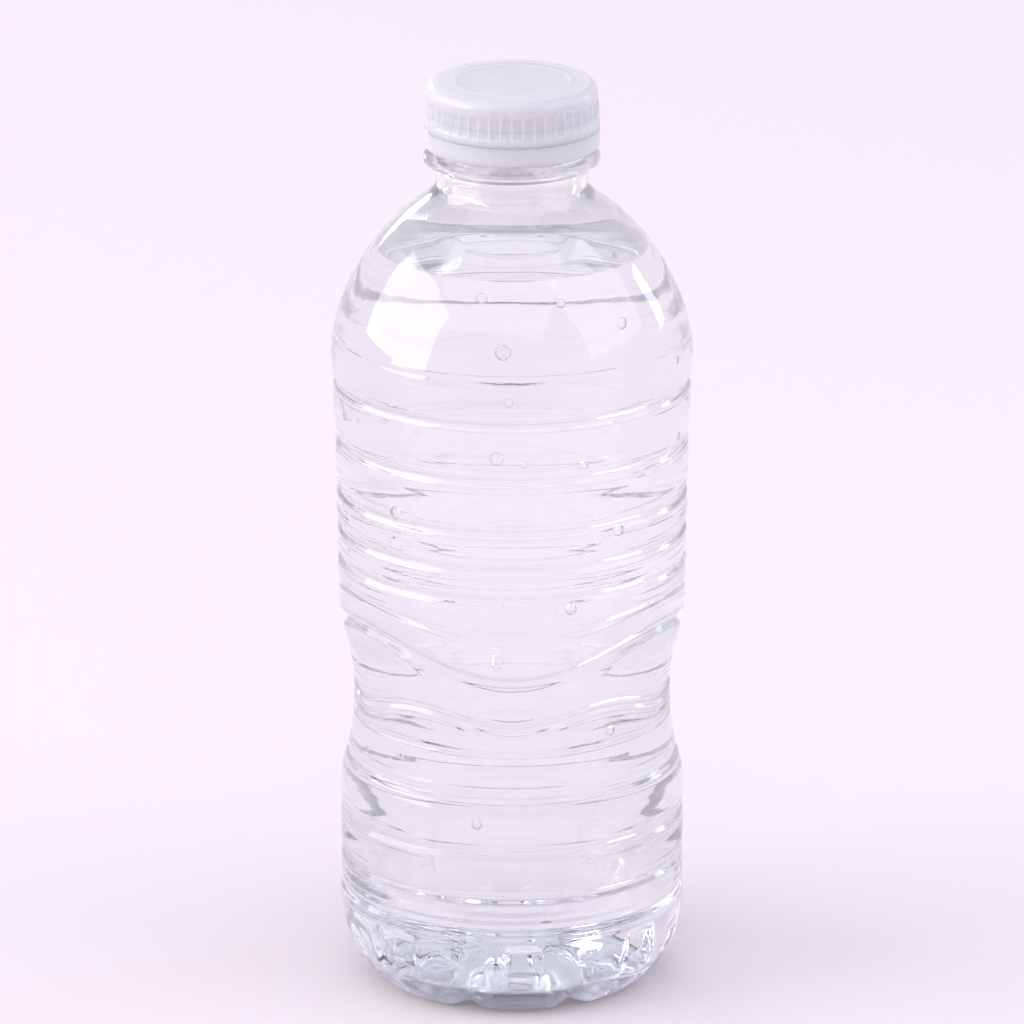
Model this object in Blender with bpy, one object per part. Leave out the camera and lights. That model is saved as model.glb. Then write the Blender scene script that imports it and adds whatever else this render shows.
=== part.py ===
"""Clear ribbed drinks bottle, full of water, with a screw cap and its tamper-evident band.

The bottle stands on +Z with the origin at the centre of its footprint.
Angles are counted from the front (-Y) towards +X, counter-clockwise seen from above.
"""
import math

import bpy
import bmesh

MM = 0.001

# --- bottle body -----------------------------------------------------------
SEGMENTS = 40
FEET = 8
FOOT_PHASE = 3.5
SEGMENT_PHASE = FOOT_PHASE + 180.0 / SEGMENTS
PAD_HALF_ANGLE = 13.5
PAD_INNER_R = 22.6
UNDERSIDE_RADII = (5.0, 11.0, 17.0)
PUSH_UP = 7.0
# the valleys between the feet: (height up the wall, depth) and (radius, rise of the underside)
VALLEY_RECESS = ((0.0, 0.8), (4.0, 1.3), (9.0, 0.8), (14.0, 0.0))
VALLEY_LIFT = ((0.0, 1.2), (3.0, 0.5), (6.0, 0.0))
VALLEY_RISE = ((5.0, 0.0), (14.0, 3.0), (20.0, 1.9), (25.2, 1.2))
WALL = 0.45
BASE_WALL = 0.8
# how far inside the pad's inner edge the inner skin turns up
PAD_INNER_STEP = 1.2
SHOULDER_Z = 124.0
NECK_START_Z = 154.5

# height and radius of the smooth body before the grooves are pressed in
BODY_STATIONS = (
    (0.0, 25.2), (3.0, 28.6), (6.0, 30.3), (10.0, 31.7), (15.0, 32.4), (21.0, 32.3),
    (38.0, 32.3), (42.0, 31.8), (47.0, 30.5), (52.6, 29.9), (58.6, 29.8), (64.0, 30.5),
    (70.0, 32.1), (76.0, 32.6), (88.0, 32.8), (102.0, 33.1), (112.0, 33.4), (124.0, 33.8),
    (128.0, 33.0), (132.0, 31.8), (136.0, 30.1), (140.0, 27.8), (144.0, 25.0),
    (148.0, 21.2), (151.0, 17.7), (153.0, 15.3), (154.5, 14.15),
)

# height, depth and half width of each pressed groove
GROOVES = (
    (18.2, 0.9, 1.5), (24.5, 0.9, 1.5), (33.3, 0.9, 1.5), (44.2, 0.8, 1.6),
    (58.6, 0.8, 1.7), (69.9, 1.5, 2.4), (77.3, 0.9, 1.5), (83.2, 0.9, 1.4),
    (89.1, 0.9, 1.5), (96.3, 0.9, 1.5), (106.4, 0.9, 1.6), (117.3, 0.9, 1.6),
)

# heights between the grooves where the inside of the wall is drawn
INSIDE_ROWS = (
    0.0, 3.4, 6.0, 9.5, 13.5, 21.3, 28.8, 38.0, 48.0, 52.6, 64.0, 74.0,
    101.3, 111.8, 124.0, 128.0, 132.0, 136.5, 141.0,
)

# the grip: a three-wave groove above a five-wave one
GRIP_LOW = (58.6, 1.5, 5)
GRIP_HIGH = (69.9, 3.5, 3)
GRIP_START_Z = 52.6
GRIP_END_Z = 80.0

# --- neck finish -----------------------------------------------------------
BORE_R = 12.1
NECK_R = 14.15
RING_R = 16.55
RING_Z = 159.8
FINISH_R = 13.45
LIP_Z = 172.9
THREAD_STARTS = 3
THREAD_LEAD = 7.5
THREAD_CREST_R = 14.35
THREAD_Z = 166.9
THREAD_SWEEP = 130.0

# --- cap and band ----------------------------------------------------------
CAP_SEGMENTS = 96
CAP_R = 16.3
FLUTE_DEPTH = 0.28
CAP_BOTTOM_Z = 165.9
CAP_TOP_Z = 174.5
CAP_BORE_R = 14.75
CAP_THREAD_R = 13.85
CAP_THREAD_SWEEP = 110.0
CAP_THREAD_START = 20.0
CAP_CEILING_Z = 173.2
PLUG_R = 11.8
BAND_SEGMENTS = 72
BAND_R = 16.35
BAND_BOTTOM_Z = 162.1
BAND_TOP_Z = 165.3
BRIDGE_EVERY = 6
BRIDGE_H = 0.3

# --- water -----------------------------------------------------------------
WATER_LEVEL_Z = 143.0
WATER_GAP = 0.35
# the gap is wider over the feet, where the walls turn sharply
WATER_BASE_GAP = 0.5
WATER_FOOT_GAP = 0.25
WATER_FOOT_Z = 8.0
WATER_PAD_STEP = 2.0


def curve_value(stations, x):
    """Smooth cubic through the stations."""
    last = len(stations) - 2
    i = 0
    while i < last and x > stations[i + 1][0]:
        i += 1
    x0, y0 = stations[i]
    x1, y1 = stations[i + 1]
    before = stations[max(i - 1, 0)]
    after = stations[min(i + 2, len(stations) - 1)]
    span = x1 - x0
    t = (x - x0) / span
    m0 = (y1 - before[1]) / (x1 - before[0]) * span
    m1 = (after[1] - y0) / (after[0] - x0) * span
    a = (2 * t ** 3 - 3 * t ** 2 + 1) * y0 + (t ** 3 - 2 * t ** 2 + t) * m0
    b = (3 * t ** 2 - 2 * t ** 3) * y1 + (t ** 3 - t ** 2) * m1
    return a + b


def mix_between(levels, x):
    """Straight-line value between (x, y) levels, held at the ends."""
    if x <= levels[0][0]:
        return levels[0][1]
    for (x0, y0), (x1, y1) in zip(levels, levels[1:]):
        if x <= x1:
            return y0 + (y1 - y0) * (x - x0) / (x1 - x0)
    return levels[-1][1]


def grip_wave(s, angle):
    """How far the wall at height s is shifted up or down at this angle."""
    low = -GRIP_LOW[1] * math.cos(math.radians(GRIP_LOW[2] * angle))
    high = -GRIP_HIGH[1] * math.cos(math.radians(GRIP_HIGH[2] * angle))
    levels = (
        (GRIP_START_Z, 0.0),
        (GRIP_LOW[0] - 1.7, low),
        (GRIP_LOW[0] + 1.7, low),
        (GRIP_HIGH[0] - 2.4, high),
        (GRIP_HIGH[0] + 2.4, high),
        (GRIP_END_Z, 0.0),
    )
    return mix_between(levels, s)


def groove_depth(s):
    """Depth pressed into the wall at height s."""
    depth = 0.0
    for z, deep, half in GROOVES:
        depth += deep * max(0.0, 1.0 - abs(s - z) / half)
    return depth


def valley(angle):
    """0 on a foot's pad, 1 in the middle of the valley beside it."""
    pitch = 360.0 / FEET
    off = abs((angle - FOOT_PHASE + pitch / 2) % pitch - pitch / 2)
    return max(0.0, off - PAD_HALF_ANGLE) / (pitch / 2 - PAD_HALF_ANGLE)


def side_point(s, angle, inset):
    """Radius and height of the wall at nominal height s, moved in by inset."""
    v = valley(angle)
    z = s + grip_wave(s, angle)
    r = curve_value(BODY_STATIONS, z) - groove_depth(s)
    r -= v * mix_between(VALLEY_RECESS, s)
    z += v * mix_between(VALLEY_LIFT, s)
    slope = mix_between(((0.0, 0.8), (3.0, 0.6), (8.0, 0.0)), s)
    return r - inset, z + slope * inset


def under_point(r, angle, inset):
    """Radius and height of the underside at radius r, moved up by inset."""
    v = valley(angle)
    z = PUSH_UP * max(0.0, 1.0 - (r / PAD_INNER_R) ** 2) ** 1.4
    z += v * mix_between(VALLEY_RISE, r)
    return r, z + inset


def wall_at(z):
    """Wall thickness at height z."""
    return mix_between(((0.0, BASE_WALL), (12.0, WALL), (140.0, WALL), (149.0, 0.8),
                        (NECK_START_Z, NECK_R - BORE_R)), z)


def angles(count, phase):
    return [phase + 360.0 * i / count for i in range(count)]


def on_circle(r, z, angle):
    a = math.radians(angle)
    return (r * math.sin(a) * MM, -r * math.cos(a) * MM, z * MM)


def reach(row):
    """Grows from the middle of the base outwards and then up the wall."""
    return sum(r + z for r, z, _ in row)


def bridge_rings(bm, rings, rows):
    """Joins ring to ring, every wall split along the same diagonal."""
    count = len(rows[0])
    for n in range(len(rings) - 1):
        low, high = rings[n], rings[n + 1]
        if reach(rows[n]) > reach(rows[n + 1]):
            low, high = high, low
        for i in range(count):
            j = (i + 1) % count
            bm.faces.new((low[i], low[j], high[j]))
            bm.faces.new((low[i], high[j], high[i]))


def solid_from_rows(name, rows, first_z, last_z):
    """Closed body from rings of (r, z, angle), with a point on the axis at each end."""
    bm = bmesh.new()
    rings = []
    for row in rows:
        rings.append([bm.verts.new(on_circle(r, z, a)) for r, z, a in row])
    count = len(rows[0])
    bridge_rings(bm, rings, rows)
    for ring, z, flip in ((rings[0], first_z, True), (rings[-1], last_z, False)):
        tip = bm.verts.new((0.0, 0.0, z * MM))
        for i in range(count):
            j = (i + 1) % count
            face = (ring[j], ring[i], tip) if flip else (ring[i], ring[j], tip)
            bm.faces.new(face)
    bmesh.ops.recalc_face_normals(bm, faces=bm.faces)
    return object_from(name, bm)


def ring_from_rows(name, rows):
    """Closed body from rings of (r, z, angle) that come back to the first ring."""
    bm = bmesh.new()
    rings = []
    for row in rows:
        rings.append([bm.verts.new(on_circle(r, z, a)) for r, z, a in row])
    count = len(rows[0])
    for low, high in zip(rings, rings[1:] + rings[:1]):
        for i in range(count):
            j = (i + 1) % count
            bm.faces.new((low[i], low[j], high[j], high[i]))
    bmesh.ops.recalc_face_normals(bm, faces=bm.faces)
    return object_from(name, bm)


def object_from(name, bm):
    mesh = bpy.data.meshes.new(name)
    bm.to_mesh(mesh)
    bm.free()
    obj = bpy.data.objects.new(name, mesh)
    bpy.context.scene.collection.objects.link(obj)
    return obj


def helix_ridge(name, start, sweep, z_start, root_r, crest_r):
    """One thread ridge: a tapered bar swept up a helix, its ends closed."""
    steps = int(sweep / 5.0)
    bm = bmesh.new()
    sections = []
    for k in range(steps + 1):
        share = k / steps
        angle = start + sweep * share
        z = z_start + THREAD_LEAD * sweep * share / 360.0
        rise = min(1.0, 0.25 + 4.0 * min(share, 1.0 - share))
        top = root_r + (crest_r - root_r) * rise
        corners = ((root_r, -0.55), (top, -0.25), (top, 0.25), (root_r, 0.55))
        sections.append([bm.verts.new(on_circle(r, z + dz, angle)) for r, dz in corners])
    for a, b in zip(sections, sections[1:]):
        for i in range(4):
            j = (i + 1) % 4
            bm.faces.new((a[i], a[j], b[j], b[i]))
    bm.faces.new(sections[0][::-1])
    bm.faces.new(sections[-1])
    bmesh.ops.recalc_face_normals(bm, faces=bm.faces)
    obj = object_from(name, bm)
    obj.hide_render = True
    obj.display_type = "WIRE"
    return obj


def join_to(obj, tool, name):
    mod = obj.modifiers.new(name, "BOOLEAN")
    mod.operation = "UNION"
    mod.solver = "EXACT"
    mod.object = tool


def give_material(obj, name, colour, roughness, transmission):
    mat = bpy.data.materials.new(name)
    mat.use_nodes = True
    shader = mat.node_tree.nodes["Principled BSDF"]
    shader.inputs["Base Color"].default_value = (*colour, 1.0)
    shader.inputs["Roughness"].default_value = roughness
    shader.inputs["Metallic"].default_value = 0.0
    shader.inputs["Transmission Weight"].default_value = transmission
    shader.inputs["IOR"].default_value = 1.5
    obj.data.materials.append(mat)


def shade(obj, limit):
    obj.data.shade_smooth()
    obj.data.set_sharp_from_angle(angle=math.radians(limit))


def groove_rows(per_groove):
    """Nominal heights that follow every groove."""
    heights = []
    for z, _, half in GROOVES:
        heights += [z - half, z, z + half] if per_groove == 3 else [z]
    return heights


def neck_outline():
    """Outside of the neck from the shoulder to the lip."""
    return (
        (NECK_R, 158.4), (RING_R - 1.2, 158.9), (RING_R, RING_Z - 0.3),
        (RING_R, RING_Z + 0.2), (RING_R - 1.4, RING_Z + 0.9), (13.75, 161.2),
        (13.75, 163.4), (14.6, 163.8), (14.6, 164.3), (FINISH_R, 165.2),
        (FINISH_R, 172.3), (FINISH_R - 0.6, LIP_Z), (BORE_R + 0.3, LIP_Z),
        (BORE_R, LIP_Z - 0.4),
    )


def build_bottle():
    turn = angles(SEGMENTS, SEGMENT_PHASE)
    rows = []
    for r in (*UNDERSIDE_RADII, PAD_INNER_R):
        rows.append([(*under_point(r, a, 0.0), a) for a in turn])
    side = [0.0, 1.4, 3.4, 6.0, 9.5, 13.5, 38.0, 48.0, GRIP_START_Z, 64.0, 74.0]
    side += [SHOULDER_Z, 128.0, 131.5, 135.0, 138.5, 142.0, 145.5, 149.0, 152.0, NECK_START_Z]
    for s in sorted(side + groove_rows(3)):
        rows.append([(*side_point(s, a, 0.0), a) for a in turn])
    for r, z in neck_outline():
        rows.append([(r, z, a) for a in turn])
    rows.append([(BORE_R, 164.0, a) for a in turn])
    rows.append([(BORE_R, NECK_START_Z + 0.6, a) for a in turn])
    inside = [*INSIDE_ROWS, 145.0, 149.0, 152.0]
    for s in sorted(inside + groove_rows(1), reverse=True):
        row = []
        for a in turn:
            row.append((*side_point(s, a, wall_at(s)), a))
        rows.append(row)
    for r in (PAD_INNER_R - PAD_INNER_STEP, *reversed(UNDERSIDE_RADII)):
        rows.append([(*under_point(r, a, BASE_WALL), a) for a in turn])
    bottle = solid_from_rows("bottle", rows, PUSH_UP, PUSH_UP + BASE_WALL)
    for k in range(THREAD_STARTS):
        tool = helix_ridge("bottle_thread_tool_%d" % k, 120.0 * k, THREAD_SWEEP,
                           THREAD_Z, FINISH_R - 0.3, THREAD_CREST_R)
        join_to(bottle, tool, "thread_%d" % k)
    shade(bottle, 40)
    give_material(bottle, "clear_pet", (0.94, 0.95, 0.97), 0.05, 1.0)


def build_water():
    turn = angles(SEGMENTS, SEGMENT_PHASE)
    rows = []
    for r in (*UNDERSIDE_RADII, PAD_INNER_R - WATER_PAD_STEP):
        rows.append([(*under_point(r, a, BASE_WALL + WATER_BASE_GAP), a) for a in turn])
    for s in sorted([*INSIDE_ROWS, *groove_rows(1)]):
        inset = wall_at(s) + WATER_GAP
        if s < WATER_FOOT_Z:
            inset += WATER_FOOT_GAP
        rows.append([(*side_point(s, a, inset), a) for a in turn])
    edge = curve_value(BODY_STATIONS, WATER_LEVEL_Z) - wall_at(WATER_LEVEL_Z) - WATER_GAP
    rows.append([(edge - 0.2, WATER_LEVEL_Z, a) for a in turn])
    rows.append([(12.0, WATER_LEVEL_Z, a) for a in turn])
    middle = PUSH_UP + BASE_WALL + WATER_BASE_GAP
    water = solid_from_rows("water", rows, middle, WATER_LEVEL_Z)
    shade(water, 40)
    give_material(water, "still_water", (0.97, 0.98, 1.0), 0.0, 1.0)


def cap_radius(r, index):
    """Knurled radius: every second segment line sits in a flute."""
    return r - FLUTE_DEPTH * (index % 2)


def build_cap():
    turn = angles(CAP_SEGMENTS, 0.0)
    outline = (
        (CAP_R - 0.1, CAP_BOTTOM_Z, 0), (CAP_R, CAP_BOTTOM_Z + 0.2, 0), (CAP_R, 167.4, 0),
        (CAP_R, 167.8, 1), (CAP_R - 0.2, 171.6, 1), (CAP_R - 0.25, 172.3, 0),
        (CAP_R - 0.6, 173.4, 0), (CAP_R - 1.3, 174.15, 0), (CAP_R - 2.2, CAP_TOP_Z, 0),
        (11.0, CAP_TOP_Z, 0), (10.75, CAP_TOP_Z - 0.15, 0), (10.5, CAP_TOP_Z, 0),
    )
    inside = (
        (PLUG_R - 0.9, CAP_CEILING_Z), (PLUG_R - 0.7, 171.4), (PLUG_R - 0.1, 171.2),
        (PLUG_R, 171.8), (PLUG_R - 0.1, CAP_CEILING_Z), (CAP_BORE_R - 0.5, CAP_CEILING_Z),
        (CAP_BORE_R, 172.7), (CAP_BORE_R, CAP_BOTTOM_Z + 0.3), (CAP_BORE_R + 0.3, CAP_BOTTOM_Z),
    )
    rows = []
    for r, z in inside:
        rows.append([(r, z, a) for a in turn])
    for r, z, fluted in outline:
        row = []
        for i, a in enumerate(turn):
            row.append((cap_radius(r, i) if fluted else r, z, a))
        rows.append(row)
    cap = solid_from_rows("cap", rows, CAP_CEILING_Z, CAP_TOP_Z)
    for k in range(THREAD_STARTS):
        start = 120.0 * k + CAP_THREAD_START
        z = THREAD_Z + THREAD_LEAD * CAP_THREAD_START / 360.0 - THREAD_LEAD / THREAD_STARTS / 2
        tool = helix_ridge("cap_thread_tool_%d" % k, start, CAP_THREAD_SWEEP, z,
                           CAP_BORE_R + 0.3, CAP_THREAD_R)
        join_to(cap, tool, "thread_%d" % k)
    shade(cap, 35)
    give_material(cap, "cap_plastic", (0.86, 0.86, 0.90), 0.32, 0.25)


def build_band():
    turn = angles(BAND_SEGMENTS, 0.0)
    section = (
        (14.25, 162.5, 0), (14.9, BAND_BOTTOM_Z, 0), (BAND_R - 0.2, BAND_BOTTOM_Z, 0),
        (BAND_R, BAND_BOTTOM_Z + 0.3, 0), (BAND_R, BAND_TOP_Z - 0.2, 0),
        (BAND_R - 0.2, BAND_TOP_Z, 1), (15.3, BAND_TOP_Z, 1), (15.05, 165.0, 0),
        (15.05, 163.7, 0), (14.25, 163.0, 0),
    )
    rows = []
    for r, z, top in section:
        row = []
        for i, a in enumerate(turn):
            lift = BRIDGE_H if top and i % BRIDGE_EVERY == 0 else 0.0
            row.append((r, z + lift, a))
        rows.append(row)
    band = ring_from_rows("tamper_band", rows)
    shade(band, 35)
    give_material(band, "band_plastic", (0.86, 0.86, 0.90), 0.32, 0.25)


def clear_scene():
    for obj in list(bpy.data.objects):
        bpy.data.objects.remove(obj, do_unlink=True)


clear_scene()
build_bottle()
build_water()
build_band()
build_cap()
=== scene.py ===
import math
import random

import bmesh
import bpy
from mathutils import Matrix, Vector


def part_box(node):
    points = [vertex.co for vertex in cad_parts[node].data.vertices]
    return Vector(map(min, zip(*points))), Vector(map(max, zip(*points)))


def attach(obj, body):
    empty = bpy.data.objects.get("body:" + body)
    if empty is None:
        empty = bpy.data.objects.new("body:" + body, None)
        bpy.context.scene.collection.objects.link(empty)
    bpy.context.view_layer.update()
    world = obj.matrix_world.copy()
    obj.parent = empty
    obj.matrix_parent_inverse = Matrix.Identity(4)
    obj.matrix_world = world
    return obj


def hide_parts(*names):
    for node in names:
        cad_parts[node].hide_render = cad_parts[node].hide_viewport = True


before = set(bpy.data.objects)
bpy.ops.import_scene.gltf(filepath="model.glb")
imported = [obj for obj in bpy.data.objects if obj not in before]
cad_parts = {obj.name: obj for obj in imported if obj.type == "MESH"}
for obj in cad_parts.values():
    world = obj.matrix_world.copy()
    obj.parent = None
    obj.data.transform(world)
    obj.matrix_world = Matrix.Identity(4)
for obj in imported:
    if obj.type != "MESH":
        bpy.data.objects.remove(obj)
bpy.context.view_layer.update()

MM = 0.001

# --- sizes read from the frame ---------------------------------------------
CAP_LOW, CAP_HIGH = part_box("cap")
BAND_LOW, BAND_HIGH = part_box("tamper_band")
CAP_R = CAP_HIGH[0] / MM
# The CAD cap's lowest points are the roots of its thread, 0.38 below its skirt. The skirt made
# here starts there too, so it reaches down past the top of the band.
CAP_BOTTOM_Z = CAP_LOW[2] / MM
CAP_TOP_Z = CAP_HIGH[2] / MM
BAND_R = BAND_HIGH[0] / MM
BAND_BOTTOM_Z = BAND_LOW[2] / MM
LIP_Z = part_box("bottle")[1][2] / MM
CONTACT_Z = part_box("water")[1][2] / MM

# --- camera, in metres -----------------------------------------------------
CAMERA_AWAY = 1.964
CAMERA_UP = 0.7265
CAMERA_PITCH = 17.95
CAMERA_LENS = 386.7

# --- wall ------------------------------------------------------------------
# steps in one turn of the wall and of the water
TURN = 240
FEET = 8
FOOT_PHASE = 3.5
PAD_HALF_ANGLE = 13.5
PAD_INNER_R = 22.6
PUSH_UP = 7.0
PUSH_UP_POWER = 1.4
# how far the base's inner face stops short of the pads' inner radius
BASE_INSET = 0.9
# the valleys between the feet: how far in and how far up the wall goes, by height, and how far
# the underside rises, by radius
VALLEY_RECESS = ((0.0, 0.8), (4.0, 1.3), (9.0, 0.8), (14.0, 0.0))
VALLEY_LIFT = ((0.0, 1.2), (3.0, 0.5), (6.0, 0.0))
VALLEY_RISE = ((5.0, 0.0), (14.0, 3.0), (20.0, 1.9), (25.2, 1.2))
WALL = 0.32
BASE_WALL = 0.7
NECK_R = 14.15
BORE_R = 12.1
NECK_START_Z = 154.5
# height and thickness, from the heavy base to the neck
WALL_LEVELS = (
    (0.0, BASE_WALL), (14.0, WALL), (138.0, WALL), (149.0, 0.7),
    (NECK_START_Z, NECK_R - BORE_R),
)
# height, and how far the inner face climbs for each millimetre of wall
INNER_CLIMB = ((0.0, 0.9), (3.0, 0.6), (8.0, 0.0))
# how far the water climbs the wall, and the distance over which that dies out
MENISCUS = 0.9
WATER_Z = CONTACT_Z - MENISCUS
WATER_GAP = 0.03
# a soft ring that stands on the water below the neck: its radius, half width and height
RING_AT = 10.5
RING_HALF = 2.2
RING_H = 0.9
SURFACE_STEPS = 64
# steps in height of the wall's outer face, of its inner face and of the water's side; how many
# times longer they are away from the pressed lines, how near a line counts as on it, and the
# shortest step worth making
OUTER_STEP = 0.32
INNER_STEP = 0.4
WATER_STEP = 0.5
LONGER = 2.2
NEAR_LINE = 2.7
SHORTEST_STEP = 0.05

FOOT_TOP_Z = 16.0
# each foot: a crease above its pad and a stepped channel up its middle, (height, depth)
CREASE = ((3.9, 0.0), (4.6, 0.45), (5.0, 0.45), (6.6, 0.0))
CREASE_HALF_ANGLE = 19.0
CHANNEL = ((4.9, 0.0), (5.6, 0.55), (8.6, 0.55), (9.5, 1.15), (13.4, 1.15), (15.6, 0.0))
CHANNEL_HALF_ANGLE = 6.5
# degrees over which the crease and the channel fade out at their sides
RELIEF_EDGE = 1.6

# height and radius
BODY_STATIONS = (
    (0.0, 25.2), (3.0, 28.6), (6.0, 30.3), (10.0, 31.7), (15.0, 32.4), (21.0, 32.3),
    (38.0, 32.35), (42.0, 31.8), (47.0, 30.5), (52.6, 29.9), (58.6, 29.8), (64.0, 30.6),
    (70.0, 32.1), (76.0, 32.6), (88.0, 32.8), (102.0, 33.1), (112.0, 33.35), (124.0, 33.75),
    (128.0, 33.0), (132.0, 31.8), (136.0, 30.1), (140.0, 27.8), (144.0, 25.0),
    (148.0, 21.2), (151.0, 17.7), (153.0, 15.3), (154.5, 14.15),
)

# height, depth and half width of each pressed line, and the swell of the band above it; the
# last row only ends the last band
GROOVES = (
    (18.2, 0.55, 1.2, 0.20), (24.5, 0.55, 1.2, 0.20), (33.3, 0.60, 1.3, 0.20),
    (44.2, 0.50, 1.4, 0.15), (52.6, 0.25, 0.9, 0.0), (58.6, 0.60, 1.5, 0.1),
    (69.9, 1.00, 2.0, 0.1), (77.3, 0.50, 1.2, 0.12), (83.2, 0.50, 1.2, 0.15),
    (89.1, 0.50, 1.2, 0.18), (96.3, 0.55, 1.2, 0.20), (106.4, 0.55, 1.2, 0.22),
    (117.3, 0.55, 1.2, 0.18), (126.5, 0.0, 1.0, 0.0),
)
# a faint line beside every pressed line: how far off, how deep and its half width
FINE_LINE = (2.1, 0.07, 0.5)
# height, rise and number of waves of the two waved lines of the grip
GRIP_LOW = (58.6, 1.5, 5)
GRIP_HIGH = (69.9, 3.5, 3)
# how much of the wall on either side moves with each of them, and where the waves die out
GRIP_LOW_HOLD = 1.2
GRIP_HIGH_HOLD = 2.2
GRIP_START_Z = 51.0
GRIP_END_Z = 81.0

# --- thread under the cap --------------------------------------------------
THREAD_STARTS = 3
THREAD_LEAD = 7.5
THREAD_Z = 166.9
THREAD_RISE = 0.9
THREAD_HALF_WIDTH = 0.6
# how steeply a ridge's sides rise to its flat crest, and degrees over which its ends run in
THREAD_FLANK = 1.6
THREAD_RUN_IN = 15.0
# where the ridges start, and how far they run, in degrees
NECK_THREAD = (0.0, 150.0)
CAP_THREAD = (20.0, 110.0)
FINISH_R = 13.45
CAP_BORE_R = 14.75
CAP_CEILING_Z = 173.2

# --- ribs on the cap's skirt -----------------------------------------------
FLUTES = 48
FLUTE_DEPTH = 0.3
STEPS_PER_FLUTE = 12
# half width of a rib's crest and width of the slope beside it, in degrees
RIB_HALF = 0.35
RIB_SLOPE = 1.0
# how steeply the flutes run in at the bottom and run out at the top
FLUTE_RUN_IN = 8
FLUTE_RUN_OUT = 3

# --- bubbles ---------------------------------------------------------------
# angle, height and radius of the bubbles that stand out on the front wall
FRONT_BUBBLES = (
    (-3, 131, 1.5), (42, 134, 1.2), (-12, 140, 1.1), (19, 139, 0.9), (-1, 122, 0.8),
    (-5, 111, 1.3), (4, 110, 0.7), (24, 109, 0.9), (-42, 98, 1.2), (38, 95, 1.2),
    (20, 81, 1.1), (39, 54, 1.0), (-12, 39, 1.0),
)
# the small ones scattered round the sides and the back
SCATTER_SEED = 7
SCATTER_COUNT = 26
SCATTER_ANGLES = (55.0, 305.0)
SCATTER_HEIGHTS = (40.0, 138.0)
SCATTER_SIZES = (0.4, 0.5, 0.7, 0.9)
# how flat they lie against the wall, and their gap to it
BUBBLE_FLAT = 0.5
BUBBLE_GAP = 0.1


# --- shape helpers ---------------------------------------------------------
def curve_value(stations, x):
    """Smooth cubic through the stations."""
    last = len(stations) - 2
    i = 0
    while i < last and x > stations[i + 1][0]:
        i += 1
    x0, y0 = stations[i]
    x1, y1 = stations[i + 1]
    before = stations[max(i - 1, 0)]
    after = stations[min(i + 2, len(stations) - 1)]
    span = x1 - x0
    t = (x - x0) / span
    m0 = (y1 - before[1]) / (x1 - before[0]) * span
    m1 = (after[1] - y0) / (after[0] - x0) * span
    a = (2 * t ** 3 - 3 * t ** 2 + 1) * y0 + (t ** 3 - 2 * t ** 2 + t) * m0
    b = (3 * t ** 2 - 2 * t ** 3) * y1 + (t ** 3 - t ** 2) * m1
    return a + b


def ease(t):
    t = min(1.0, max(0.0, t))
    return t * t * (3 - 2 * t)


def mix_between(levels, x):
    """Eased value between (x, y) levels, held at the ends."""
    if x <= levels[0][0]:
        return levels[0][1]
    for (x0, y0), (x1, y1) in zip(levels, levels[1:]):
        if x <= x1:
            return y0 + (y1 - y0) * ease((x - x0) / (x1 - x0))
    return levels[-1][1]


def grip_wave(s, angle):
    """How far the wall at height s is shifted up or down at this angle."""
    low = -GRIP_LOW[1] * math.cos(math.radians(GRIP_LOW[2] * angle))
    high = -GRIP_HIGH[1] * math.cos(math.radians(GRIP_HIGH[2] * angle))
    levels = (
        (GRIP_START_Z, 0.0),
        (GRIP_LOW[0] - GRIP_LOW_HOLD, low), (GRIP_LOW[0] + GRIP_LOW_HOLD, low),
        (GRIP_HIGH[0] - GRIP_HIGH_HOLD, high), (GRIP_HIGH[0] + GRIP_HIGH_HOLD, high),
        (GRIP_END_Z, 0.0),
    )
    return mix_between(levels, s)


def line_depth(off, deep, half):
    """Rounded line of this depth and half width, at a distance off from its middle."""
    u = abs(off) / half
    return deep * math.cos(u * math.pi / 2) ** 2 if u < 1.0 else 0.0


def pressed(s):
    """Depth of the pressed lines and of the swell between them at height s."""
    depth = 0.0
    aside, fine_deep, fine_half = FINE_LINE
    for z, deep, half, _ in GROOVES:
        depth += line_depth(s - z, deep, half)
        if deep:
            depth += line_depth(abs(s - z) - aside, fine_deep, fine_half)
    for (z0, _, _, swell), (z1, _, _, _) in zip(GROOVES, GROOVES[1:]):
        if z0 <= s < z1:
            u = (s - z0) / (z1 - z0)
            depth += swell * (2 * u - 1) ** 2
    return depth


def off_foot(angle):
    """Angle from the middle of the nearest foot."""
    pitch = 360.0 / FEET
    return abs((angle - FOOT_PHASE + pitch / 2) % pitch - pitch / 2)


def valley(angle):
    """0 on a foot's pad, 1 in the middle of the valley beside it."""
    return ease((off_foot(angle) - PAD_HALF_ANGLE) / (180.0 / FEET - PAD_HALF_ANGLE))


def foot_relief(s, angle):
    """Depth of the crease and of the stepped channel pressed into each foot."""
    off = off_foot(angle)
    crease = ease((CREASE_HALF_ANGLE - off) / RELIEF_EDGE) * mix_between(CREASE, s)
    channel = ease((CHANNEL_HALF_ANGLE - off) / RELIEF_EDGE) * mix_between(CHANNEL, s)
    return max(crease, channel)


def side_point(s, angle, inset):
    """Radius and height of the wall at nominal height s, moved in by inset."""
    v = valley(angle)
    z = s + grip_wave(s, angle)
    r = curve_value(BODY_STATIONS, z) - pressed(s)
    r -= v * mix_between(VALLEY_RECESS, s) + foot_relief(s, angle)
    z += v * mix_between(VALLEY_LIFT, s)
    return r - inset, z + mix_between(INNER_CLIMB, s) * inset


def under_point(r, angle, inset):
    """Radius and height of the underside at radius r, moved up by inset."""
    v = valley(angle)
    z = PUSH_UP * max(0.0, 1.0 - (r / PAD_INNER_R) ** 2) ** PUSH_UP_POWER
    z += v * mix_between(VALLEY_RISE, r)
    return r, z + inset


def wall_at(z):
    return mix_between(WALL_LEVELS, z)


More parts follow.
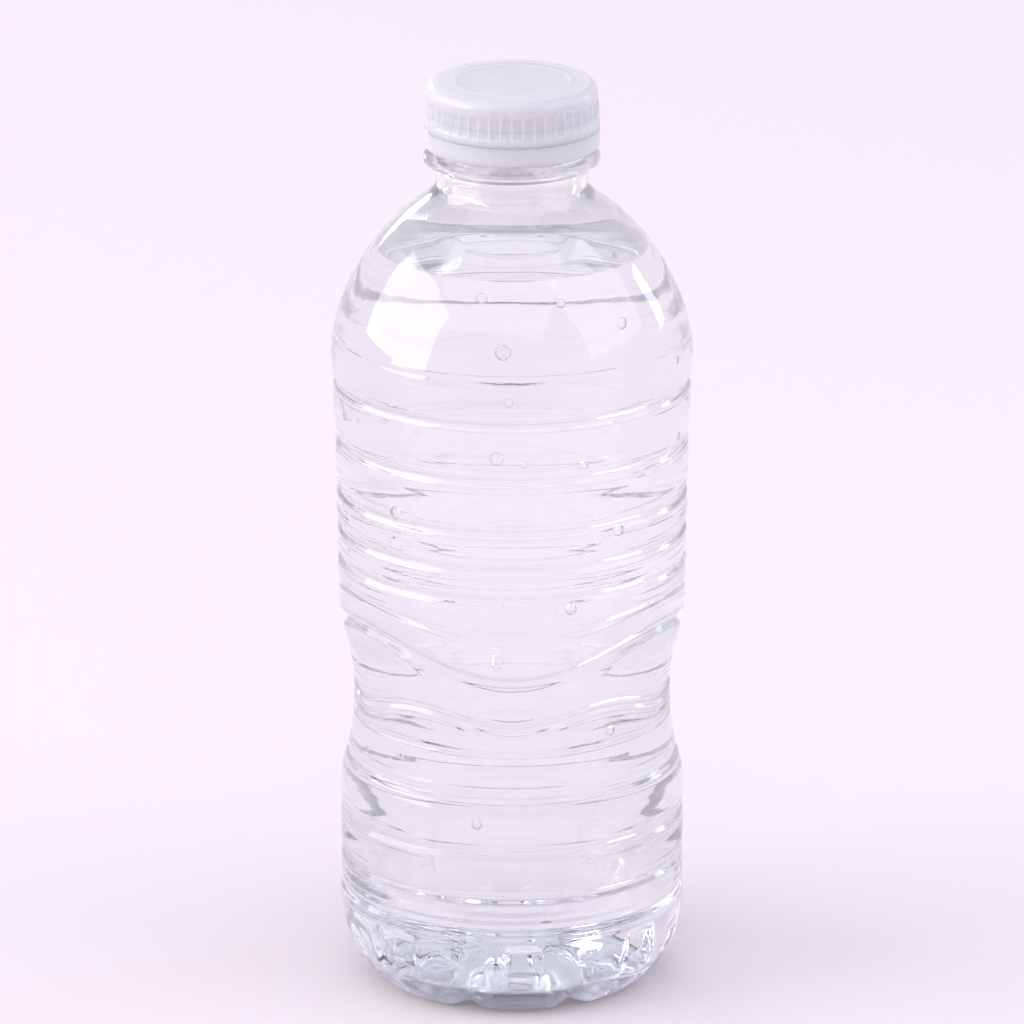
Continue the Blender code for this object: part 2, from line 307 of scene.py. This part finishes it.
def on_circle(r, z, angle):
    a = math.radians(angle)
    return (r * math.sin(a) * MM, -r * math.cos(a) * MM, z * MM)


def turn_angles(count, phase=0.0):
    return [phase + 360.0 * i / count for i in range(count)]


def side_heights(low, high, fine):
    """Heights from low to high, closer together in the pressed lines."""
    heights = []
    s = low
    while s < high - SHORTEST_STEP:
        heights.append(s)
        near = min(abs(s - z) for z, _, _, _ in GROOVES)
        s += fine if near < NEAR_LINE or s < FOOT_TOP_Z else fine * LONGER
    heights.append(high)
    return heights


def object_from(name, bm):
    for face in bm.faces:
        face.smooth = True
    mesh = bpy.data.meshes.new(name)
    bm.to_mesh(mesh)
    bm.free()
    obj = bpy.data.objects.new(name, mesh)
    bpy.context.scene.collection.objects.link(obj)
    return obj


def lathe(name, rows, tips=None, loop=False, slots=None):
    """Mesh from rings of (r, z, angle). tips: heights of the closing points on the axis."""
    bm = bmesh.new()
    rings = [[bm.verts.new(on_circle(*p)) for p in row] for row in rows]
    count = len(rows[0])
    slots = slots or [0] * len(rows)
    pairs = list(zip(rings, rings[1:]))
    if loop:
        pairs.append((rings[-1], rings[0]))
    for n, (low, high) in enumerate(pairs):
        for i in range(count):
            j = (i + 1) % count
            face = bm.faces.new((low[i], low[j], high[j], high[i]))
            face.material_index = slots[n]
    if tips:
        ends = ((rings[0], tips[0], slots[0], True), (rings[-1], tips[1], slots[-1], False))
        for ring, z, slot, flip in ends:
            tip = bm.verts.new((0.0, 0.0, z * MM))
            for i in range(count):
                j = (i + 1) % count
                order = (ring[j], ring[i], tip) if flip else (ring[i], ring[j], tip)
                bm.faces.new(order).material_index = slot
    bmesh.ops.recalc_face_normals(bm, faces=bm.faces)
    return object_from(name, bm)


def thread_height(a, z, first, start, sweep):
    """How far the thread ridges stand out at angle a and height z."""
    best = 0.0
    for k in range(THREAD_STARTS):
        along = (a - 360.0 / THREAD_STARTS * k - start) % 360.0
        if along > sweep:
            continue
        middle = first + THREAD_LEAD * (along + start) / 360.0
        run_in = min(1.0, along / THREAD_RUN_IN, (sweep - along) / THREAD_RUN_IN)
        u = abs(z - middle) / THREAD_HALF_WIDTH
        if u < 1.0:
            best = max(best, THREAD_RISE * run_in * ease(THREAD_FLANK * (1.0 - u)))
    return best


# --- materials -------------------------------------------------------------
PET_IOR = 1.575
WATER_IOR = 1.333
# grey-blue tint of the water's surface: painted shade on what shows through it
WATER_TOP_SHADE = (0.92, 0.935, 0.965)
WATER_ROUGHNESS = 0.02
NOISE_DETAIL = 2.0
# the blown wall's unevenness: how fine, how strong, and its depth in metres
WALL_NOISE = (90.0, 0.25, 0.0003)
# the cloudy plastic of cap and band: share of light let through and of light scattered inside,
# how far that goes in metres and for each colour, its grain as for the wall, and its mottling
CLOUDY = 0.24
CLOUDY_ROUGHNESS = 0.22
CLOUDY_IOR = 1.5
CLOUDY_SCATTER = 0.85
CLOUDY_DEPTH = 0.004
CLOUDY_COLOURS = (1.0, 0.97, 1.0)
CLOUDY_NOISE = (900.0, 0.06, 0.0001)
CLOUDY_MOTTLE = (0.94, 1.04)
# where the front pad's painted shadow fades out, from front to back and upwards
PAD_SHADOW_Y = (-29.0, -20.0)
PAD_SHADOW_Z = (4.4, 5.4)


def new_material(name):
    mat = bpy.data.materials.new(name)
    mat.use_nodes = True
    return mat, mat.node_tree, mat.node_tree.nodes["Principled BSDF"]


def noise_bump(tree, shader, scale, strength, distance):
    """Bump from noise in the object's own metres. Returns the noise node."""
    where = tree.nodes.new("ShaderNodeTexCoord")
    noise = tree.nodes.new("ShaderNodeTexNoise")
    noise.inputs["Scale"].default_value = scale
    noise.inputs["Detail"].default_value = NOISE_DETAIL
    bump = tree.nodes.new("ShaderNodeBump")
    bump.inputs["Strength"].default_value = strength
    bump.inputs["Distance"].default_value = distance
    tree.links.new(where.outputs["Object"], noise.inputs["Vector"])
    tree.links.new(noise.outputs["Fac"], bump.inputs["Height"])
    tree.links.new(bump.outputs["Normal"], shader.inputs["Normal"])
    return noise


def clear_material(name, colour, ior, uneven=None, roughness=0.0):
    """Clear plastic, water or air. uneven: scale, strength and depth of a bump."""
    mat, tree, shader = new_material(name)
    shader.inputs["Base Color"].default_value = (*colour, 1.0)
    shader.inputs["Roughness"].default_value = roughness
    shader.inputs["IOR"].default_value = ior
    shader.inputs["Transmission Weight"].default_value = 1.0
    if uneven:
        noise_bump(tree, shader, *uneven)
    return mat


def map_range(tree, value, low, high, at_low, at_high, smooth=False):
    """Socket that takes value from low..high to at_low..at_high, held at the ends."""
    node = tree.nodes.new("ShaderNodeMapRange")
    if smooth:
        node.interpolation_type = "SMOOTHSTEP"
    node.inputs["From Min"].default_value = low
    node.inputs["From Max"].default_value = high
    node.inputs["To Min"].default_value = at_low
    node.inputs["To Max"].default_value = at_high
    tree.links.new(value, node.inputs["Value"])
    return node.outputs["Result"]


def object_axes(tree):
    """Node whose X, Y and Z outputs are the object's own coordinates, in metres."""
    where = tree.nodes.new("ShaderNodeTexCoord")
    split = tree.nodes.new("ShaderNodeSeparateXYZ")
    tree.links.new(where.outputs["Object"], split.inputs[0])
    return split


def colour_ramp(tree, along, stops):
    """Socket that takes the (position, colour) stops as along goes from 0 to 1."""
    ramp = tree.nodes.new("ShaderNodeValToRGB")
    elements = ramp.color_ramp.elements
    while len(elements) < len(stops):
        elements.new(0.5)
    for element, (position, colour) in zip(elements, stops):
        element.position = position
        element.color = (*colour, 1.0)
    tree.links.new(along, ramp.inputs["Fac"])
    return ramp.outputs["Color"]


def tone_by_height(tree, low, high, tones):
    """Socket whose (height, colour) tones run up the object from low to high."""
    up = map_range(tree, object_axes(tree).outputs["Z"], low * MM, high * MM, 0.0, 1.0)
    return colour_ramp(tree, up, [((z - low) / (high - low), colour) for z, colour in tones])


def scaled(tree, colour, factor):
    """Socket of the colour times the factor."""
    node = tree.nodes.new("ShaderNodeVectorMath")
    node.operation = "SCALE"
    tree.links.new(colour, node.inputs[0])
    tree.links.new(factor, node.inputs["Scale"])
    return node.outputs["Vector"]


def mix_surface(tree, share, first, second):
    """Makes the surface the first shader where share is 0 and the second where it is 1."""
    mix = tree.nodes.new("ShaderNodeMixShader")
    tree.links.new(share, mix.inputs[0])
    tree.links.new(first.outputs[0], mix.inputs[1])
    tree.links.new(second.outputs[0], mix.inputs[2])
    tree.links.new(mix.outputs[0], tree.nodes["Material Output"].inputs["Surface"])


def paint_wall_shade(mat):
    """Painted shade and light on the clear wall by height: darkest in the foot, lightest on the
    neck, with a painted shadow on the front pad.
    """
    tree = mat.node_tree
    painted_tone = tone_by_height(tree, 0.0, WALL_PAINTED_SHADE[-1][0], WALL_PAINTED_SHADE)
    # painted shadow on the front pad, fading out backwards and upwards
    axes = object_axes(tree)
    low, high = (y * MM for y in PAD_SHADOW_Y)
    behind = map_range(tree, axes.outputs["Y"], low, high, PAD_SHADOW_SHARE, 1.0)
    low, high = (z * MM for z in PAD_SHADOW_Z)
    above = map_range(tree, axes.outputs["Z"], low, high, PAD_SHADOW_SHARE, 1.0)
    most = tree.nodes.new("ShaderNodeMath")
    most.operation = "MAXIMUM"
    tree.links.new(behind, most.inputs[0])
    tree.links.new(above, most.inputs[1])
    shaded_tone = scaled(tree, painted_tone, most.outputs[0])
    tree.links.new(shaded_tone, tree.nodes["Principled BSDF"].inputs["Base Color"])


def let_through(mat, levels):
    """Lets part of the light pass unbent, (height, share), so that deep bends don't go black."""
    tree = mat.node_tree
    tones = [(z, (share, share, share)) for z, share in levels]
    share = tone_by_height(tree, 0.0, levels[-1][0], tones)
    clear = tree.nodes.new("ShaderNodeBsdfTransparent")
    mix_surface(tree, share, tree.nodes["Principled BSDF"], clear)


def pass_through_material(name):
    """The water's side, which the wetted wall already bends the light for."""
    mat = bpy.data.materials.new(name)
    mat.use_nodes = True
    tree = mat.node_tree
    tree.nodes.clear()
    clear = tree.nodes.new("ShaderNodeBsdfTransparent")
    out = tree.nodes.new("ShaderNodeOutputMaterial")
    tree.links.new(clear.outputs[0], out.inputs[0])
    return mat


def milky_material(name, tones):
    """Unpigmented polyethylene: cloudy and mottled.

    tones: (height, colour) of painted shade and light, standing in for the thread and cavity
    showing through, and on the cap a painted highlight on the top bead.
    """
    mat, tree, shader = new_material(name)
    shader.inputs["Roughness"].default_value = CLOUDY_ROUGHNESS
    shader.inputs["IOR"].default_value = CLOUDY_IOR
    shader.inputs["Subsurface Weight"].default_value = CLOUDY_SCATTER
    shader.inputs["Subsurface Radius"].default_value = CLOUDY_COLOURS
    shader.inputs["Subsurface Scale"].default_value = CLOUDY_DEPTH
    shader.inputs["Transmission Weight"].default_value = CLOUDY
    noise = noise_bump(tree, shader, *CLOUDY_NOISE)
    mottle = map_range(tree, noise.outputs["Fac"], 0.0, 1.0, *CLOUDY_MOTTLE)
    # painted shade and light by height, mottled
    painted_tone = tone_by_height(tree, BAND_BOTTOM_Z, CAP_TOP_Z, tones)
    tree.links.new(scaled(tree, painted_tone, mottle), shader.inputs["Base Color"])
    return mat


# height and colour: painted shade where the thread and cavity show through, a dark painted line
# at 168.7, and a painted highlight on the top bead
CAP_SHADE_AND_HIGHLIGHT = (
    (165.9, (0.85, 0.85, 0.98)), (166.6, (0.88, 0.87, 1.0)), (168.3, (0.88, 0.86, 1.0)),
    (168.7, (0.72, 0.76, 0.92)), (169.1, (0.83, 0.81, 0.97)), (171.8, (0.87, 0.84, 0.98)),
    (172.5, (0.86, 0.82, 0.97)), (174.25, (0.82, 0.76, 0.93)), (174.4, (0.96, 0.92, 1.0)),
)
# painted shade on the band, darker towards its top, standing in for what shows through it
BAND_PAINTED_SHADE = (
    (162.1, (0.90, 0.89, 1.0)), (163.2, (0.90, 0.89, 1.0)), (164.9, (0.88, 0.88, 1.0)),
    (165.7, (0.86, 0.87, 0.99)),
)

# painted shade and light on the clear wall by height, not the plastic's own tint: darker foot,
# flank, lower wall and shoulder, lighter neck
FLANK_SHADE = (0.94, 0.95, 0.975)
FOOT_SHADE = (0.84, 0.83, 0.88)
# the front pad's painted shadow: its tone as a share of the other feet's
PAD_SHADOW_SHARE = 0.42
LOW_AND_SHOULDER_SHADE = (0.945, 0.947, 0.963)
CLEAR_TINT = (0.968, 0.970, 0.984)
NECK_LIGHT = (0.992, 0.992, 1.0)
# height and colour of the painted shade and light on the wall
WALL_PAINTED_SHADE = (
    (0.0, FOOT_SHADE), (4.4, FOOT_SHADE), (5.2, FLANK_SHADE), (13.0, FLANK_SHADE), (19.0, LOW_AND_SHOULDER_SHADE),
    (60.0, LOW_AND_SHOULDER_SHADE), (72.0, CLEAR_TINT), (108.0, CLEAR_TINT), (122.0, LOW_AND_SHOULDER_SHADE),
    (146.0, LOW_AND_SHOULDER_SHADE), (153.0, NECK_LIGHT),
)
# height and share of the light let through unbent: more where deep bends would go black
WALL_SHARES = (
    (0.0, 0.0), (18.0, 0.0), (26.5, 0.18), (32.5, 0.18), (38.0, 0.06), (66.0, 0.06),
    (70.0, 0.15), (74.0, 0.15), (80.0, 0.06), (157.6, 0.06), (158.8, 0.2), (161.2, 0.2),
    (162.0, 0.06),
)
BUBBLE_SHARES = ((0.0, 0.35), (CONTACT_Z, 0.35))

# The wall's wet side meets water, not air, so its index is that of the pair.
PET = clear_material("clear_pet", CLEAR_TINT, PET_IOR, uneven=WALL_NOISE)
PET_WET = clear_material("clear_pet_wet", CLEAR_TINT, PET_IOR / WATER_IOR)
WATER_TOP = clear_material("water_surface", WATER_TOP_SHADE, WATER_IOR, roughness=WATER_ROUGHNESS)
WATER_SIDE = pass_through_material("water_edge")
BUBBLE = clear_material("air_bubble", (1.0, 1.0, 1.0), 1.0 / WATER_IOR)
paint_wall_shade(PET)
paint_wall_shade(PET_WET)
let_through(PET, WALL_SHARES)
let_through(BUBBLE, BUBBLE_SHARES)


# --- bottle ----------------------------------------------------------------
DRY, WET = 0, 1
# rows round the feet's corners, and where the even rows start
FOOT_HEIGHTS = (0.0, 0.5, 1.1, 1.8, 2.6, 3.5)
FIRST_SIDE_Z = 4.4
UNDER_STEPS = 18
# radius and height
NECK = (
    (NECK_R, 156.5), (NECK_R, 158.1), (14.4, 158.5), (15.3, 158.8), (16.2, 159.05),
    (16.5, 159.35), (16.55, 159.8), (16.5, 160.15), (16.2, 160.4), (15.0, 160.6),
    (14.1, 160.8), (13.75, 161.2), (13.75, 163.4), (14.0, 163.6), (14.6, 163.8),
    (14.65, 164.05), (14.6, 164.3), (13.7, 165.0), (FINISH_R, 165.3),
)
# rows of the threaded finish: lowest height, step and count
FINISH_ROWS = (165.5, 0.24, 29)
# radius and height below the lip's top
LIP = ((13.4, -0.4), (13.2, -0.15), (12.9, 0.0), (12.5, 0.0), (12.2, -0.15), (BORE_R, -0.4))
BORE_HEIGHTS = (170.0, 165.0, 160.0, 156.8)
# where the bore gives way to the inside of the shoulder
BORE_END_Z = 154.2


def build_bottle():
    """One closed skin: up the outside, over the lip and down the inside, wet below the water."""
    turn = turn_angles(TURN, FOOT_PHASE)
    rows = []
    slots = []

    def add(row, slot):
        rows.append(row)
        slots.append(slot)

    def add_round(r, z):
        add([(r, z, a) for a in turn], DRY)

    def add_side(s, inset, slot):
        add([(*side_point(s, a, inset), a) for a in turn], slot)

    for k in range(1, UNDER_STEPS + 1):
        r = PAD_INNER_R * k / UNDER_STEPS
        add([(*under_point(r, a, 0.0), a) for a in turn], DRY)
    for s in (*FOOT_HEIGHTS, *side_heights(FIRST_SIDE_Z, NECK_START_Z, OUTER_STEP)):
        add_side(s, 0.0, DRY)
    for r, z in NECK:
        add_round(r, z)
    low, step, count = FINISH_ROWS
    for k in range(count):
        z = low + step * k
        add([(FINISH_R + thread_height(a, z, THREAD_Z, *NECK_THREAD), z, a) for a in turn], DRY)
    for r, down in LIP:
        add_round(r, LIP_Z + down)
    for z in BORE_HEIGHTS:
        add_round(BORE_R, z)
    for s in reversed(side_heights(CONTACT_Z, BORE_END_Z, INNER_STEP)):
        add_side(s, wall_at(s), DRY)
    slots[-1] = WET
    for s in reversed(side_heights(FIRST_SIDE_Z, CONTACT_Z, INNER_STEP)[:-1]):
        add_side(s, wall_at(s), WET)
    for s in reversed(FOOT_HEIGHTS):
        add_side(s, wall_at(s), WET)
    for k in range(UNDER_STEPS, 0, -1):
        r = (PAD_INNER_R - BASE_INSET) * k / UNDER_STEPS
        add([(*under_point(r, a, BASE_WALL), a) for a in turn], WET)
    bottle = lathe("bottle_wall", rows, tips=(PUSH_UP, PUSH_UP + BASE_WALL), slots=slots)
    bottle.data.materials.append(PET)
    bottle.data.materials.append(PET_WET)
    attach(bottle, "bottle")
    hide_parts("bottle")


# --- water -----------------------------------------------------------------
def build_water():
    turn = turn_angles(TURN, FOOT_PHASE)
    top, side = 0, 1
    rows = []
    for k in range(1, UNDER_STEPS + 1):
        r = (PAD_INNER_R - BASE_INSET - WATER_GAP) * k / UNDER_STEPS
        rows.append([(*under_point(r, a, BASE_WALL + WATER_GAP), a) for a in turn])
    for s in (*FOOT_HEIGHTS, *side_heights(FIRST_SIDE_Z, CONTACT_Z, WATER_STEP)):
        rows.append([(*side_point(s, a, wall_at(s) + WATER_GAP), a) for a in turn])
    slots = [side] * (len(rows) - 1)
    edge_r = side_point(CONTACT_Z, 0.0, wall_at(CONTACT_Z) + WATER_GAP)[0]
    for k in range(1, SURFACE_STEPS):
        r = edge_r * (1.0 - k / SURFACE_STEPS)
        z = WATER_Z + MENISCUS * math.exp((r - edge_r) / MENISCUS)
        z += RING_H * math.exp(-((r - RING_AT) / RING_HALF) ** 2)
        rows.append([(r, z, a) for a in turn])
    slots += [top] * (len(rows) - len(slots))
    tips = (PUSH_UP + BASE_WALL + WATER_GAP, WATER_Z)
    water = lathe("water_body", rows, tips=tips, slots=slots)
    water.data.materials.append(WATER_TOP)
    water.data.materials.append(WATER_SIDE)
    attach(water, "bottle")
    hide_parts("water")


def add_bubble(bm, angle, s, size):
    """A slightly flattened air bubble that clings to the inside of the wall."""
    r, z = side_point(s, angle, wall_at(s) + size * BUBBLE_FLAT + BUBBLE_GAP)
    place = Matrix.Translation(Vector(on_circle(r, z, angle)))
    place @= Matrix.Rotation(math.radians(angle), 4, "Z")
    place @= Matrix.Diagonal((1.0, BUBBLE_FLAT, 1.0, 1.0))
    bmesh.ops.create_uvsphere(bm, u_segments=24, v_segments=16, radius=size * MM, matrix=place)


def build_bubbles():
    random.seed(SCATTER_SEED)
    bm = bmesh.new()
    for angle, s, size in FRONT_BUBBLES:
        add_bubble(bm, angle, s, size)
    for _ in range(SCATTER_COUNT):
        angle = random.uniform(*SCATTER_ANGLES)
        s = random.uniform(*SCATTER_HEIGHTS)
        add_bubble(bm, angle, s, random.choice(SCATTER_SIZES))
    bubbles = object_from("wall_bubbles", bm)
    bubbles.data.materials.append(BUBBLE)
    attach(bubbles, "bottle")


# --- cap -------------------------------------------------------------------
# radius and height from the ceiling: the plug and the corner of the bore
CAP_INSIDE = (
    (9.9, 0.0), (10.85, -0.1), (10.95, -0.8), (11.1, -1.7), (11.4, -2.0), (11.65, -1.9),
    (11.8, -1.4), (11.75, -0.6), (11.9, -0.1), (12.3, 0.0), (14.2, 0.0), (14.6, -0.2),
    (CAP_BORE_R, -0.6),
)
# rows of the inner thread: highest height, step and count
CAP_THREAD_ROWS = (171.6, 0.255, 22)
# radius and height above the skirt's lower end
CAP_SKIRT = ((14.9, 0.1), (15.1, 0.0), (16.0, 0.0), (16.2, 0.07), (16.3, 0.25),
             (16.3, 0.7), (16.3, 1.2), (16.28, 1.4))
# flat rim, fine raised bead, slightly lower disc and the moulding's gate mark in its middle
CAP_TOP = ((13.0, -0.12), (11.15, -0.13), (10.98, -0.04), (10.82, 0.0), (10.66, -0.04),
           (10.5, -0.16), (10.3, -0.2), (8.0, -0.2), (4.0, -0.2), (0.6, -0.2), (0.4, -0.14))
# the ribbed part: its height, how far above the skirt's end it starts, and how far it leans in
KNURL_H = 4.9
KNURL_START = 1.45
KNURL_LEAN = 0.28
KNURL_STEPS = 18
FILLET_R = 1.92
FILLET_H = 2.15
FILLET_DROP = 0.12
FILLET_STEPS = 12
GATE_DROP = 0.13


def build_cap():
    turn = turn_angles(FLUTES * STEPS_PER_FLUTE)

    def flute(a):
        """0 on a rib's narrow crest, 1 on the flat face between two ribs."""
        pitch = 360.0 / FLUTES
        off = abs((a + pitch / 2) % pitch - pitch / 2)
        return ease((off - RIB_HALF) / RIB_SLOPE)

    def row(r, z, depth=0.0):
        return [(r - depth * flute(a), z, a) for a in turn]

    rows = [row(r, CAP_CEILING_Z + dz) for r, dz in CAP_INSIDE]
    middle = THREAD_Z - THREAD_LEAD / THREAD_STARTS / 2
    high, step, count = CAP_THREAD_ROWS
    for k in range(count):
        z = high - step * k
        rows.append([(CAP_BORE_R - thread_height(a, z, middle, *CAP_THREAD), z, a) for a in turn])
    rows += [row(r, CAP_BOTTOM_Z + dz) for r, dz in CAP_SKIRT]
    for k in range(KNURL_STEPS + 1):
        u = k / KNURL_STEPS
        depth = FLUTE_DEPTH * ease(min(1.0, FLUTE_RUN_IN * u, FLUTE_RUN_OUT * (1 - u)))
        z = CAP_BOTTOM_Z + KNURL_START + KNURL_H * u
        rows.append(row(CAP_R - KNURL_LEAN * u, z, depth))
    for k in range(1, FILLET_STEPS + 1):
        a = math.pi / 2 * k / FILLET_STEPS
        z = CAP_TOP_Z - FILLET_DROP - FILLET_H * (1.0 - math.sin(a))
        rows.append(row(CAP_R - KNURL_LEAN - FILLET_R * (1.0 - math.cos(a)), z))
    rows += [row(r, CAP_TOP_Z + dz) for r, dz in CAP_TOP]
    cap = lathe("screw_cap", rows, tips=(CAP_CEILING_Z, CAP_TOP_Z - GATE_DROP))
    cap.data.materials.append(milky_material("cap_plastic", CAP_SHADE_AND_HIGHLIGHT))
    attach(cap, "cap")
    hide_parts("cap")


# --- tamper band -----------------------------------------------------------
# inset from the band's radius, height above its bottom, and 1 where the bridges rise
BAND_SECTION = (
    (2.1, 0.45, 0), (1.85, 0.15, 0), (1.45, 0.0, 0), (0.3, 0.0, 0), (0.1, 0.08, 0),
    (0.0, 0.3, 0), (0.0, 1.4, 0), (0.0, 3.3, 0), (0.07, 3.53, 1), (0.25, 3.63, 1),
    (0.95, 3.63, 1), (1.25, 3.45, 0), (1.3, 2.9, 0), (1.3, 1.6, 0), (1.75, 1.2, 0),
    (2.1, 0.9, 0),
)
BRIDGE_H = 0.14
BRIDGES = 12
# steps of the turn from one bridge to the next, and in a bridge
PER_BRIDGE = 20
BRIDGE_STEPS = 2


def build_band():
    rows = []
    for inset, up, top in BAND_SECTION:
        row = []
        for i, a in enumerate(turn_angles(BRIDGES * PER_BRIDGE)):
            bridge = BRIDGE_H if top and i % PER_BRIDGE < BRIDGE_STEPS else 0.0
            row.append((BAND_R - inset, BAND_BOTTOM_Z + up + bridge, a))
        rows.append(row)
    band = lathe("tamper_evident_band", rows, loop=True)
    band.data.materials.append(milky_material("band_plastic", BAND_PAINTED_SHADE))
    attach(band, "tamper_band")
    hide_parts("tamper_band")


# --- stage, in metres ------------------------------------------------------
LIGHT_LEVEL = 0.97
LIGHT_TARGET = Vector((0.0, 0.0, 0.09))
# sine of the elevation, and colour
SKY_TONES = (
    (0.0, (0.98, 0.92, 0.97)), (0.12, (0.96, 0.90, 0.96)), (0.35, (0.80, 0.79, 0.85)),
    (0.75, (0.70, 0.72, 0.80)),
)
# strength of the surroundings in front and behind, and the Y of the direction in each place
FRONT_DIM = 0.74
BACK_BRIGHT = 0.97 * LIGHT_LEVEL
FRONT_Y = -1.0
BACK_Y = 0.3
FLOOR_R = 60.0
FLOOR_DROP = 0.00005
FLOOR_COLOUR = (0.80, 0.73, 0.762)
# distances between which the floor turns into the surroundings
FADE_FROM = 0.6
FADE_TO = 2.4
WHITE = (1.0, 1.0, 1.0)
# name, azimuth, elevation, distance, width, height, power and colour
SOFTBOXES = (
    ("window_left", -84.0, 23.0, 3.0, 3.2, 2.0, 62.0, WHITE),
    ("fill_right", 75.0, 35.0, 1.6, 1.4, 1.3, 6.5, WHITE),
    ("overhead", -15.0, 62.0, 1.9, 2.6, 2.2, 15.0, WHITE),
    ("back_left", -158.0, 13.0, 1.8, 0.4, 0.3, 3.0, WHITE),
    ("sky_right", 118.0, 14.0, 1.5, 0.22, 0.5, 2.2, (0.42, 0.62, 1.0)),
)


def sky(tree, direction):
    """Colour and strength sockets of the surroundings in this direction."""
    split = tree.nodes.new("ShaderNodeSeparateXYZ")
    tree.links.new(direction, split.inputs[0])
    colour = colour_ramp(tree, split.outputs["Z"], SKY_TONES)
    strength = map_range(
        tree, split.outputs["Y"], FRONT_Y, BACK_Y, FRONT_DIM, BACK_BRIGHT, smooth=True
    )
    return colour, strength


def build_floor():
    """Pale floor that turns into the surroundings far away, so that no hard edge shows."""
    bm = bmesh.new()
    bmesh.ops.create_circle(bm, cap_ends=True, segments=96, radius=FLOOR_R)
    floor = object_from("studio_floor", bm)
    floor.location.z = -FLOOR_DROP
    mat, tree, shader = new_material("pale_floor")
    shader.inputs["Base Color"].default_value = (*FLOOR_COLOUR, 1.0)
    shader.inputs["Roughness"].default_value = 1.0
    shader.inputs["Specular IOR Level"].default_value = 0.0
    where = tree.nodes.new("ShaderNodeTexCoord")
    length = tree.nodes.new("ShaderNodeVectorMath")
    length.operation = "LENGTH"
    outward = tree.nodes.new("ShaderNodeVectorMath")
    outward.operation = "NORMALIZE"
    tree.links.new(where.outputs["Object"], length.inputs[0])
    tree.links.new(where.outputs["Object"], outward.inputs[0])
    colour, strength = sky(tree, outward.outputs["Vector"])
    far = tree.nodes.new("ShaderNodeEmission")
    tree.links.new(colour, far.inputs["Color"])
    tree.links.new(strength, far.inputs["Strength"])
    fade = map_range(tree, length.outputs["Value"], FADE_FROM, FADE_TO, 0.0, 1.0, smooth=True)
    mix_surface(tree, fade, shader, far)
    floor.data.materials.append(mat)


def build_world():
    """Pale all round, cooler overhead, dimmer in front, so that the wall has tones to bend."""
    world = bpy.data.worlds.new("studio")
    bpy.context.scene.world = world
    world.use_nodes = True
    tree = world.node_tree
    where = tree.nodes.new("ShaderNodeTexCoord")
    colour, strength = sky(tree, where.outputs["Generated"])
    background = tree.nodes["Background"]
    tree.links.new(colour, background.inputs["Color"])
    tree.links.new(strength, background.inputs["Strength"])


def softbox(name, azimuth, elevation, away, wide, high, power, colour):
    light = bpy.data.lights.new(name, "AREA")
    light.shape = "RECTANGLE"
    light.size = wide
    light.size_y = high
    light.energy = power * LIGHT_LEVEL
    light.color = colour
    obj = bpy.data.objects.new(name, light)
    bpy.context.scene.collection.objects.link(obj)
    az = math.radians(azimuth)
    el = math.radians(elevation)
    to = Vector((math.sin(az) * math.cos(el), -math.cos(az) * math.cos(el), math.sin(el)))
    obj.location = LIGHT_TARGET + to * away
    obj.rotation_euler = to.to_track_quat("Z", "Y").to_euler()


def build_camera():
    data = bpy.data.cameras.new("camera")
    data.lens = CAMERA_LENS
    data.sensor_width = 36.0
    data.clip_end = 100.0
    camera = bpy.data.objects.new("camera", data)
    camera.location = (0.0, -CAMERA_AWAY, CAMERA_UP)
    camera.rotation_euler = (math.radians(90.0 - CAMERA_PITCH), 0.0, 0.0)
    bpy.context.scene.collection.objects.link(camera)
    bpy.context.scene.camera = camera


build_bottle()
build_water()
build_bubbles()
build_cap()
build_band()
build_floor()
build_world()
for box in SOFTBOXES:
    softbox(*box)
build_camera()

scene = bpy.context.scene
scene.view_settings.view_transform = "Standard"
scene.cycles.max_bounces = 32
scene.cycles.transmission_bounces = 28
scene.cycles.glossy_bounces = 12
scene.cycles.transparent_max_bounces = 32
